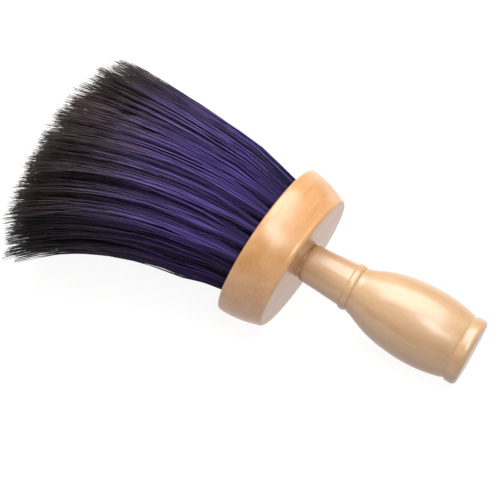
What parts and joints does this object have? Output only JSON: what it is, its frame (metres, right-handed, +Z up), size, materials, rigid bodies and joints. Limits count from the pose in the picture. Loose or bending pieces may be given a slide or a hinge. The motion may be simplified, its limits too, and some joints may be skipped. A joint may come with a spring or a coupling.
{
  "type": "neck duster brush",
  "caption": "Turned wooden handle glued into a thick round wooden head with rings of long soft dyed bristle tufts; sweeps cut hair off the neck.",
  "frame": {"origin": "centre of the bounding box, at the height of the table that the brush lies on", "axes": "+Z up, -X along the brush towards the bristle tips, Y level across the brush"},
  "size_m": [0.1854, 0.0908, 0.0679],
  "materials": {
    "handle_wood": "clear lacquer, glossy",
    "head_wood": "clear lacquer, glossy",
    "bristle": "dyed violet, darkening to charcoal at the tips"
  },
  "bodies": {
    "handle_and_head": {"handle": "handle_wood", "brush_head": "head_wood"},
    "tuft_ring0_01": {"tuft_ring0_01": "bristle"},
    "tuft_ring1_01": {"tuft_ring1_01": "bristle"},
    "tuft_ring1_02": {"tuft_ring1_02": "bristle"},
    "tuft_ring1_03": {"tuft_ring1_03": "bristle"},
    "tuft_ring1_04": {"tuft_ring1_04": "bristle"},
    "tuft_ring1_05": {"tuft_ring1_05": "bristle"},
    "tuft_ring1_06": {"tuft_ring1_06": "bristle"},
    "tuft_ring2_01": {"tuft_ring2_01": "bristle"},
    "tuft_ring2_02": {"tuft_ring2_02": "bristle"},
    "tuft_ring2_03": {"tuft_ring2_03": "bristle"},
    "tuft_ring2_04": {"tuft_ring2_04": "bristle"},
    "tuft_ring2_05": {"tuft_ring2_05": "bristle"},
    "tuft_ring2_06": {"tuft_ring2_06": "bristle"},
    "tuft_ring2_07": {"tuft_ring2_07": "bristle"},
    "tuft_ring2_08": {"tuft_ring2_08": "bristle"},
    "tuft_ring2_09": {"tuft_ring2_09": "bristle"},
    "tuft_ring2_10": {"tuft_ring2_10": "bristle"},
    "tuft_ring2_11": {"tuft_ring2_11": "bristle"},
    "tuft_ring2_12": {"tuft_ring2_12": "bristle"},
    "tuft_ring3_01": {"tuft_ring3_01": "bristle"},
    "tuft_ring3_02": {"tuft_ring3_02": "bristle"},
    "tuft_ring3_03": {"tuft_ring3_03": "bristle"},
    "tuft_ring3_04": {"tuft_ring3_04": "bristle"},
    "tuft_ring3_05": {"tuft_ring3_05": "bristle"},
    "tuft_ring3_06": {"tuft_ring3_06": "bristle"},
    "tuft_ring3_07": {"tuft_ring3_07": "bristle"},
    "tuft_ring3_08": {"tuft_ring3_08": "bristle"},
    "tuft_ring3_09": {"tuft_ring3_09": "bristle"},
    "tuft_ring3_10": {"tuft_ring3_10": "bristle"},
    "tuft_ring3_11": {"tuft_ring3_11": "bristle"},
    "tuft_ring3_12": {"tuft_ring3_12": "bristle"},
    "tuft_ring3_13": {"tuft_ring3_13": "bristle"},
    "tuft_ring3_14": {"tuft_ring3_14": "bristle"},
    "tuft_ring3_15": {"tuft_ring3_15": "bristle"},
    "tuft_ring3_16": {"tuft_ring3_16": "bristle"},
    "tuft_ring3_17": {"tuft_ring3_17": "bristle"},
    "tuft_ring4_01": {"tuft_ring4_01": "bristle"},
    "tuft_ring4_02": {"tuft_ring4_02": "bristle"},
    "tuft_ring4_03": {"tuft_ring4_03": "bristle"},
    "tuft_ring4_04": {"tuft_ring4_04": "bristle"},
    "tuft_ring4_05": {"tuft_ring4_05": "bristle"},
    "tuft_ring4_06": {"tuft_ring4_06": "bristle"},
    "tuft_ring4_07": {"tuft_ring4_07": "bristle"},
    "tuft_ring4_08": {"tuft_ring4_08": "bristle"},
    "tuft_ring4_09": {"tuft_ring4_09": "bristle"},
    "tuft_ring4_10": {"tuft_ring4_10": "bristle"},
    "tuft_ring4_11": {"tuft_ring4_11": "bristle"},
    "tuft_ring4_12": {"tuft_ring4_12": "bristle"},
    "tuft_ring4_13": {"tuft_ring4_13": "bristle"},
    "tuft_ring4_14": {"tuft_ring4_14": "bristle"},
    "tuft_ring4_15": {"tuft_ring4_15": "bristle"},
    "tuft_ring4_16": {"tuft_ring4_16": "bristle"},
    "tuft_ring4_17": {"tuft_ring4_17": "bristle"},
    "tuft_ring4_18": {"tuft_ring4_18": "bristle"},
    "tuft_ring4_19": {"tuft_ring4_19": "bristle"},
    "tuft_ring4_20": {"tuft_ring4_20": "bristle"},
    "tuft_ring4_21": {"tuft_ring4_21": "bristle"},
    "tuft_ring4_22": {"tuft_ring4_22": "bristle"}
  },
  "joints": [
    {"name": "tuft_ring0_01_flex", "type": "hinge", "parent": "handle_and_head", "child": "tuft_ring0_01", "pos_m": [0.00527, -0.00218, 0.03161], "axis": [0, 0, 1], "range_deg": [-20, 20], "stiffness_Nm_per_rad": 0.012},
    {"name": "tuft_ring1_01_flex", "type": "hinge", "parent": "handle_and_head", "child": "tuft_ring1_01", "pos_m": [0.00378, -0.00504, 0.02667], "axis": [0, 0, 1], "range_deg": [-20, 20], "stiffness_Nm_per_rad": 0.012},
    {"name": "tuft_ring1_02_flex", "type": "hinge", "parent": "handle_and_head", "child": "tuft_ring1_02", "pos_m": [0.00487, -0.00807, 0.03161], "axis": [0, 0, 1], "range_deg": [-20, 20], "stiffness_Nm_per_rad": 0.012},
    {"name": "tuft_ring1_03_flex", "type": "hinge", "parent": "handle_and_head", "child": "tuft_ring1_03", "pos_m": [0.00636, -0.00522, 0.03656], "axis": [0, 0, 1], "range_deg": [-20, 20], "stiffness_Nm_per_rad": 0.012},
    {"name": "tuft_ring1_04_flex", "type": "hinge", "parent": "handle_and_head", "child": "tuft_ring1_04", "pos_m": [0.00677, 0.00067, 0.03656], "axis": [0, 0, 1], "range_deg": [-20, 20], "stiffness_Nm_per_rad": 0.012},
    {"name": "tuft_ring1_05_flex", "type": "hinge", "parent": "handle_and_head", "child": "tuft_ring1_05", "pos_m": [0.00568, 0.0037, 0.03161], "axis": [0, 0, 1], "range_deg": [-20, 20], "stiffness_Nm_per_rad": 0.012},
    {"name": "tuft_ring1_06_flex", "type": "hinge", "parent": "handle_and_head", "child": "tuft_ring1_06", "pos_m": [0.00419, 0.00085, 0.02667], "axis": [0, 0, 1], "range_deg": [-20, 20], "stiffness_Nm_per_rad": 0.012},
    {"name": "tuft_ring2_01_flex", "type": "hinge", "parent": "handle_and_head", "child": "tuft_ring2_01", "pos_m": [0.00237, -0.00198, 0.02049], "axis": [0, 0, 1], "range_deg": [-20, 20], "stiffness_Nm_per_rad": 0.012},
    {"name": "tuft_ring2_02_flex", "type": "hinge", "parent": "handle_and_head", "child": "tuft_ring2_02", "pos_m": [0.00236, -0.00775, 0.02198], "axis": [0, 0, 1], "range_deg": [-20, 20], "stiffness_Nm_per_rad": 0.012},
    {"name": "tuft_ring2_03_flex", "type": "hinge", "parent": "handle_and_head", "child": "tuft_ring2_03", "pos_m": [0.00313, -0.01202, 0.02605], "axis": [0, 0, 1], "range_deg": [-20, 20], "stiffness_Nm_per_rad": 0.012},
    {"name": "tuft_ring2_04_flex", "type": "hinge", "parent": "handle_and_head", "child": "tuft_ring2_04", "pos_m": [0.00448, -0.01366, 0.03161], "axis": [0, 0, 1], "range_deg": [-20, 20], "stiffness_Nm_per_rad": 0.012},
    {"name": "tuft_ring2_05_flex", "type": "hinge", "parent": "handle_and_head", "child": "tuft_ring2_05", "pos_m": [0.00603, -0.01222, 0.03718], "axis": [0, 0, 1], "range_deg": [-20, 20], "stiffness_Nm_per_rad": 0.012},
    {"name": "tuft_ring2_06_flex", "type": "hinge", "parent": "handle_and_head", "child": "tuft_ring2_06", "pos_m": [0.00739, -0.00809, 0.04125], "axis": [0, 0, 1], "range_deg": [-20, 20], "stiffness_Nm_per_rad": 0.012},
    {"name": "tuft_ring2_07_flex", "type": "hinge", "parent": "handle_and_head", "child": "tuft_ring2_07", "pos_m": [0.00818, -0.00239, 0.04274], "axis": [0, 0, 1], "range_deg": [-20, 20], "stiffness_Nm_per_rad": 0.012},
    {"name": "tuft_ring2_08_flex", "type": "hinge", "parent": "handle_and_head", "child": "tuft_ring2_08", "pos_m": [0.00819, 0.00338, 0.04125], "axis": [0, 0, 1], "range_deg": [-20, 20], "stiffness_Nm_per_rad": 0.012},
    {"name": "tuft_ring2_09_flex", "type": "hinge", "parent": "handle_and_head", "child": "tuft_ring2_09", "pos_m": [0.00742, 0.00765, 0.03718], "axis": [0, 0, 1], "range_deg": [-20, 20], "stiffness_Nm_per_rad": 0.012},
    {"name": "tuft_ring2_10_flex", "type": "hinge", "parent": "handle_and_head", "child": "tuft_ring2_10", "pos_m": [0.00607, 0.00929, 0.03161], "axis": [0, 0, 1], "range_deg": [-20, 20], "stiffness_Nm_per_rad": 0.012},
    {"name": "tuft_ring2_11_flex", "type": "hinge", "parent": "handle_and_head", "child": "tuft_ring2_11", "pos_m": [0.00451, 0.00785, 0.02605], "axis": [0, 0, 1], "range_deg": [-20, 20], "stiffness_Nm_per_rad": 0.012},
    {"name": "tuft_ring2_12_flex", "type": "hinge", "parent": "handle_and_head", "child": "tuft_ring2_12", "pos_m": [0.00316, 0.00373, 0.02198], "axis": [0, 0, 1], "range_deg": [-20, 20], "stiffness_Nm_per_rad": 0.012},
    {"name": "tuft_ring3_01_flex", "type": "hinge", "parent": "handle_and_head", "child": "tuft_ring3_01", "pos_m": [0.00083, -0.00502, 0.0154], "axis": [0, 0, 1], "range_deg": [-20, 20], "stiffness_Nm_per_rad": 0.012},
    {"name": "tuft_ring3_02_flex", "type": "hinge", "parent": "handle_and_head", "child": "tuft_ring3_02", "pos_m": [0.00099, -0.01088, 0.01759], "axis": [0, 0, 1], "range_deg": [-20, 20], "stiffness_Nm_per_rad": 0.012},
    {"name": "tuft_ring3_03_flex", "type": "hinge", "parent": "handle_and_head", "child": "tuft_ring3_03", "pos_m": [0.00174, -0.01558, 0.02167], "axis": [0, 0, 1], "range_deg": [-20, 20], "stiffness_Nm_per_rad": 0.012},
    {"name": "tuft_ring3_04_flex", "type": "hinge", "parent": "handle_and_head", "child": "tuft_ring3_04", "pos_m": [0.00296, -0.01846, 0.0271], "axis": [0, 0, 1], "range_deg": [-20, 20], "stiffness_Nm_per_rad": 0.012},
    {"name": "tuft_ring3_05_flex", "type": "hinge", "parent": "handle_and_head", "child": "tuft_ring3_05", "pos_m": [0.00449, -0.01915, 0.03314], "axis": [0, 0, 1], "range_deg": [-20, 20], "stiffness_Nm_per_rad": 0.012},
    {"name": "tuft_ring3_06_flex", "type": "hinge", "parent": "handle_and_head", "child": "tuft_ring3_06", "pos_m": [0.00613, -0.01754, 0.03897], "axis": [0, 0, 1], "range_deg": [-20, 20], "stiffness_Nm_per_rad": 0.012},
    {"name": "tuft_ring3_07_flex", "type": "hinge", "parent": "handle_and_head", "child": "tuft_ring3_07", "pos_m": [0.00766, -0.01386, 0.0438], "axis": [0, 0, 1], "range_deg": [-20, 20], "stiffness_Nm_per_rad": 0.012},
    {"name": "tuft_ring3_08_flex", "type": "hinge", "parent": "handle_and_head", "child": "tuft_ring3_08", "pos_m": [0.00886, -0.00861, 0.047], "axis": [0, 0, 1], "range_deg": [-20, 20], "stiffness_Nm_per_rad": 0.012},
    {"name": "tuft_ring3_09_flex", "type": "hinge", "parent": "handle_and_head", "child": "tuft_ring3_09", "pos_m": [0.00958, -0.00248, 0.04811], "axis": [0, 0, 1], "range_deg": [-20, 20], "stiffness_Nm_per_rad": 0.012},
    {"name": "tuft_ring3_10_flex", "type": "hinge", "parent": "handle_and_head", "child": "tuft_ring3_10", "pos_m": [0.00971, 0.00368, 0.047], "axis": [0, 0, 1], "range_deg": [-20, 20], "stiffness_Nm_per_rad": 0.012},
    {"name": "tuft_ring3_11_flex", "type": "hinge", "parent": "handle_and_head", "child": "tuft_ring3_11", "pos_m": [0.00925, 0.00905, 0.0438], "axis": [0, 0, 1], "range_deg": [-20, 20], "stiffness_Nm_per_rad": 0.012},
    {"name": "tuft_ring3_12_flex", "type": "hinge", "parent": "handle_and_head", "child": "tuft_ring3_12", "pos_m": [0.00825, 0.01291, 0.03897], "axis": [0, 0, 1], "range_deg": [-20, 20], "stiffness_Nm_per_rad": 0.012},
    {"name": "tuft_ring3_13_flex", "type": "hinge", "parent": "handle_and_head", "child": "tuft_ring3_13", "pos_m": [0.00685, 0.01473, 0.03314], "axis": [0, 0, 1], "range_deg": [-20, 20], "stiffness_Nm_per_rad": 0.012},
    {"name": "tuft_ring3_14_flex", "type": "hinge", "parent": "handle_and_head", "child": "tuft_ring3_14", "pos_m": [0.00523, 0.01426, 0.0271], "axis": [0, 0, 1], "range_deg": [-20, 20], "stiffness_Nm_per_rad": 0.012},
    {"name": "tuft_ring3_15_flex", "type": "hinge", "parent": "handle_and_head", "child": "tuft_ring3_15", "pos_m": [0.00363, 0.01157, 0.02167], "axis": [0, 0, 1], "range_deg": [-20, 20], "stiffness_Nm_per_rad": 0.012},
    {"name": "tuft_ring3_16_flex", "type": "hinge", "parent": "handle_and_head", "child": "tuft_ring3_16", "pos_m": [0.00224, 0.00702, 0.01759], "axis": [0, 0, 1], "range_deg": [-20, 20], "stiffness_Nm_per_rad": 0.012},
    {"name": "tuft_ring3_17_flex", "type": "hinge", "parent": "handle_and_head", "child": "tuft_ring3_17", "pos_m": [0.00126, 0.00123, 0.0154], "axis": [0, 0, 1], "range_deg": [-20, 20], "stiffness_Nm_per_rad": 0.012},
    {"name": "tuft_ring4_01_flex", "type": "hinge", "parent": "handle_and_head", "child": "tuft_ring4_01", "pos_m": [-0.00043, -0.00179, 0.00975], "axis": [0, 0, 1], "range_deg": [-20, 20], "stiffness_Nm_per_rad": 0.012},
    {"name": "tuft_ring4_02_flex", "type": "hinge", "parent": "handle_and_head", "child": "tuft_ring4_02", "pos_m": [-0.00064, -0.00816, 0.01063], "axis": [0, 0, 1], "range_deg": [-20, 20], "stiffness_Nm_per_rad": 0.012},
    {"name": "tuft_ring4_03_flex", "type": "hinge", "parent": "handle_and_head", "child": "tuft_ring4_03", "pos_m": [-0.00037, -0.01404, 0.01322], "axis": [0, 0, 1], "range_deg": [-20, 20], "stiffness_Nm_per_rad": 0.012},
    {"name": "tuft_ring4_04_flex", "type": "hinge", "parent": "handle_and_head", "child": "tuft_ring4_04", "pos_m": [0.00036, -0.01896, 0.0173], "axis": [0, 0, 1], "range_deg": [-20, 20], "stiffness_Nm_per_rad": 0.012},
    {"name": "tuft_ring4_05_flex", "type": "hinge", "parent": "handle_and_head", "child": "tuft_ring4_05", "pos_m": [0.00148, -0.02253, 0.02253], "axis": [0, 0, 1], "range_deg": [-20, 20], "stiffness_Nm_per_rad": 0.012},
    {"name": "tuft_ring4_06_flex", "type": "hinge", "parent": "handle_and_head", "child": "tuft_ring4_06", "pos_m": [0.00291, -0.02444, 0.0285], "axis": [0, 0, 1], "range_deg": [-20, 20], "stiffness_Nm_per_rad": 0.012},
    {"name": "tuft_ring4_07_flex", "type": "hinge", "parent": "handle_and_head", "child": "tuft_ring4_07", "pos_m": [0.00453, -0.02456, 0.03473], "axis": [0, 0, 1], "range_deg": [-20, 20], "stiffness_Nm_per_rad": 0.012},
    {"name": "tuft_ring4_08_flex", "type": "hinge", "parent": "handle_and_head", "child": "tuft_ring4_08", "pos_m": [0.00622, -0.02286, 0.0407], "axis": [0, 0, 1], "range_deg": [-20, 20], "stiffness_Nm_per_rad": 0.012},
    {"name": "tuft_ring4_09_flex", "type": "hinge", "parent": "handle_and_head", "child": "tuft_ring4_09", "pos_m": [0.00782, -0.01948, 0.04593], "axis": [0, 0, 1], "range_deg": [-20, 20], "stiffness_Nm_per_rad": 0.012},
    {"name": "tuft_ring4_10_flex", "type": "hinge", "parent": "handle_and_head", "child": "tuft_ring4_10", "pos_m": [0.00922, -0.01471, 0.05001], "axis": [0, 0, 1], "range_deg": [-20, 20], "stiffness_Nm_per_rad": 0.012},
    {"name": "tuft_ring4_11_flex", "type": "hinge", "parent": "handle_and_head", "child": "tuft_ring4_11", "pos_m": [0.0103, -0.00892, 0.05259], "axis": [0, 0, 1], "range_deg": [-20, 20], "stiffness_Nm_per_rad": 0.012},
    {"name": "tuft_ring4_12_flex", "type": "hinge", "parent": "handle_and_head", "child": "tuft_ring4_12", "pos_m": [0.01098, -0.00258, 0.05348], "axis": [0, 0, 1], "range_deg": [-20, 20], "stiffness_Nm_per_rad": 0.012},
    {"name": "tuft_ring4_13_flex", "type": "hinge", "parent": "handle_and_head", "child": "tuft_ring4_13", "pos_m": [0.01119, 0.00379, 0.05259], "axis": [0, 0, 1], "range_deg": [-20, 20], "stiffness_Nm_per_rad": 0.012},
    {"name": "tuft_ring4_14_flex", "type": "hinge", "parent": "handle_and_head", "child": "tuft_ring4_14", "pos_m": [0.01092, 0.00967, 0.05001], "axis": [0, 0, 1], "range_deg": [-20, 20], "stiffness_Nm_per_rad": 0.012},
    {"name": "tuft_ring4_15_flex", "type": "hinge", "parent": "handle_and_head", "child": "tuft_ring4_15", "pos_m": [0.01019, 0.0146, 0.04593], "axis": [0, 0, 1], "range_deg": [-20, 20], "stiffness_Nm_per_rad": 0.012},
    {"name": "tuft_ring4_16_flex", "type": "hinge", "parent": "handle_and_head", "child": "tuft_ring4_16", "pos_m": [0.00907, 0.01816, 0.0407], "axis": [0, 0, 1], "range_deg": [-20, 20], "stiffness_Nm_per_rad": 0.012},
    {"name": "tuft_ring4_17_flex", "type": "hinge", "parent": "handle_and_head", "child": "tuft_ring4_17", "pos_m": [0.00764, 0.02008, 0.03473], "axis": [0, 0, 1], "range_deg": [-20, 20], "stiffness_Nm_per_rad": 0.012},
    {"name": "tuft_ring4_18_flex", "type": "hinge", "parent": "handle_and_head", "child": "tuft_ring4_18", "pos_m": [0.00601, 0.02019, 0.0285], "axis": [0, 0, 1], "range_deg": [-20, 20], "stiffness_Nm_per_rad": 0.012},
    {"name": "tuft_ring4_19_flex", "type": "hinge", "parent": "handle_and_head", "child": "tuft_ring4_19", "pos_m": [0.00433, 0.01849, 0.02253], "axis": [0, 0, 1], "range_deg": [-20, 20], "stiffness_Nm_per_rad": 0.012},
    {"name": "tuft_ring4_20_flex", "type": "hinge", "parent": "handle_and_head", "child": "tuft_ring4_20", "pos_m": [0.00272, 0.01511, 0.0173], "axis": [0, 0, 1], "range_deg": [-20, 20], "stiffness_Nm_per_rad": 0.012},
    {"name": "tuft_ring4_21_flex", "type": "hinge", "parent": "handle_and_head", "child": "tuft_ring4_21", "pos_m": [0.00133, 0.01034, 0.01322], "axis": [0, 0, 1], "range_deg": [-20, 20], "stiffness_Nm_per_rad": 0.012},
    {"name": "tuft_ring4_22_flex", "type": "hinge", "parent": "handle_and_head", "child": "tuft_ring4_22", "pos_m": [0.00024, 0.00455, 0.01063], "axis": [0, 0, 1], "range_deg": [-20, 20], "stiffness_Nm_per_rad": 0.012}
  ],
  "couplings": [
    {"joint": "tuft_ring1_01_flex", "follows": "tuft_ring0_01_flex", "ratio": 1},
    {"joint": "tuft_ring1_02_flex", "follows": "tuft_ring0_01_flex", "ratio": 1},
    {"joint": "tuft_ring1_03_flex", "follows": "tuft_ring0_01_flex", "ratio": 1},
    {"joint": "tuft_ring1_04_flex", "follows": "tuft_ring0_01_flex", "ratio": 1},
    {"joint": "tuft_ring1_05_flex", "follows": "tuft_ring0_01_flex", "ratio": 1},
    {"joint": "tuft_ring1_06_flex", "follows": "tuft_ring0_01_flex", "ratio": 1},
    {"joint": "tuft_ring2_01_flex", "follows": "tuft_ring0_01_flex", "ratio": 1},
    {"joint": "tuft_ring2_02_flex", "follows": "tuft_ring0_01_flex", "ratio": 1},
    {"joint": "tuft_ring2_03_flex", "follows": "tuft_ring0_01_flex", "ratio": 1},
    {"joint": "tuft_ring2_04_flex", "follows": "tuft_ring0_01_flex", "ratio": 1},
    {"joint": "tuft_ring2_05_flex", "follows": "tuft_ring0_01_flex", "ratio": 1},
    {"joint": "tuft_ring2_06_flex", "follows": "tuft_ring0_01_flex", "ratio": 1},
    {"joint": "tuft_ring2_07_flex", "follows": "tuft_ring0_01_flex", "ratio": 1},
    {"joint": "tuft_ring2_08_flex", "follows": "tuft_ring0_01_flex", "ratio": 1},
    {"joint": "tuft_ring2_09_flex", "follows": "tuft_ring0_01_flex", "ratio": 1},
    {"joint": "tuft_ring2_10_flex", "follows": "tuft_ring0_01_flex", "ratio": 1},
    {"joint": "tuft_ring2_11_flex", "follows": "tuft_ring0_01_flex", "ratio": 1},
    {"joint": "tuft_ring2_12_flex", "follows": "tuft_ring0_01_flex", "ratio": 1},
    {"joint": "tuft_ring3_01_flex", "follows": "tuft_ring0_01_flex", "ratio": 1},
    {"joint": "tuft_ring3_02_flex", "follows": "tuft_ring0_01_flex", "ratio": 1},
    {"joint": "tuft_ring3_03_flex", "follows": "tuft_ring0_01_flex", "ratio": 1},
    {"joint": "tuft_ring3_04_flex", "follows": "tuft_ring0_01_flex", "ratio": 1},
    {"joint": "tuft_ring3_05_flex", "follows": "tuft_ring0_01_flex", "ratio": 1},
    {"joint": "tuft_ring3_06_flex", "follows": "tuft_ring0_01_flex", "ratio": 1},
    {"joint": "tuft_ring3_07_flex", "follows": "tuft_ring0_01_flex", "ratio": 1},
    {"joint": "tuft_ring3_08_flex", "follows": "tuft_ring0_01_flex", "ratio": 1},
    {"joint": "tuft_ring3_09_flex", "follows": "tuft_ring0_01_flex", "ratio": 1},
    {"joint": "tuft_ring3_10_flex", "follows": "tuft_ring0_01_flex", "ratio": 1},
    {"joint": "tuft_ring3_11_flex", "follows": "tuft_ring0_01_flex", "ratio": 1},
    {"joint": "tuft_ring3_12_flex", "follows": "tuft_ring0_01_flex", "ratio": 1},
    {"joint": "tuft_ring3_13_flex", "follows": "tuft_ring0_01_flex", "ratio": 1},
    {"joint": "tuft_ring3_14_flex", "follows": "tuft_ring0_01_flex", "ratio": 1},
    {"joint": "tuft_ring3_15_flex", "follows": "tuft_ring0_01_flex", "ratio": 1},
    {"joint": "tuft_ring3_16_flex", "follows": "tuft_ring0_01_flex", "ratio": 1},
    {"joint": "tuft_ring3_17_flex", "follows": "tuft_ring0_01_flex", "ratio": 1},
    {"joint": "tuft_ring4_01_flex", "follows": "tuft_ring0_01_flex", "ratio": 1},
    {"joint": "tuft_ring4_02_flex", "follows": "tuft_ring0_01_flex", "ratio": 1},
    {"joint": "tuft_ring4_03_flex", "follows": "tuft_ring0_01_flex", "ratio": 1},
    {"joint": "tuft_ring4_04_flex", "follows": "tuft_ring0_01_flex", "ratio": 1},
    {"joint": "tuft_ring4_05_flex", "follows": "tuft_ring0_01_flex", "ratio": 1},
    {"joint": "tuft_ring4_06_flex", "follows": "tuft_ring0_01_flex", "ratio": 1},
    {"joint": "tuft_ring4_07_flex", "follows": "tuft_ring0_01_flex", "ratio": 1},
    {"joint": "tuft_ring4_08_flex", "follows": "tuft_ring0_01_flex", "ratio": 1},
    {"joint": "tuft_ring4_09_flex", "follows": "tuft_ring0_01_flex", "ratio": 1},
    {"joint": "tuft_ring4_10_flex", "follows": "tuft_ring0_01_flex", "ratio": 1},
    {"joint": "tuft_ring4_11_flex", "follows": "tuft_ring0_01_flex", "ratio": 1},
    {"joint": "tuft_ring4_12_flex", "follows": "tuft_ring0_01_flex", "ratio": 1},
    {"joint": "tuft_ring4_13_flex", "follows": "tuft_ring0_01_flex", "ratio": 1},
    {"joint": "tuft_ring4_14_flex", "follows": "tuft_ring0_01_flex", "ratio": 1},
    {"joint": "tuft_ring4_15_flex", "follows": "tuft_ring0_01_flex", "ratio": 1},
    {"joint": "tuft_ring4_16_flex", "follows": "tuft_ring0_01_flex", "ratio": 1},
    {"joint": "tuft_ring4_17_flex", "follows": "tuft_ring0_01_flex", "ratio": 1},
    {"joint": "tuft_ring4_18_flex", "follows": "tuft_ring0_01_flex", "ratio": 1},
    {"joint": "tuft_ring4_19_flex", "follows": "tuft_ring0_01_flex", "ratio": 1},
    {"joint": "tuft_ring4_20_flex", "follows": "tuft_ring0_01_flex", "ratio": 1},
    {"joint": "tuft_ring4_21_flex", "follows": "tuft_ring0_01_flex", "ratio": 1},
    {"joint": "tuft_ring4_22_flex", "follows": "tuft_ring0_01_flex", "ratio": 1}
  ]
}
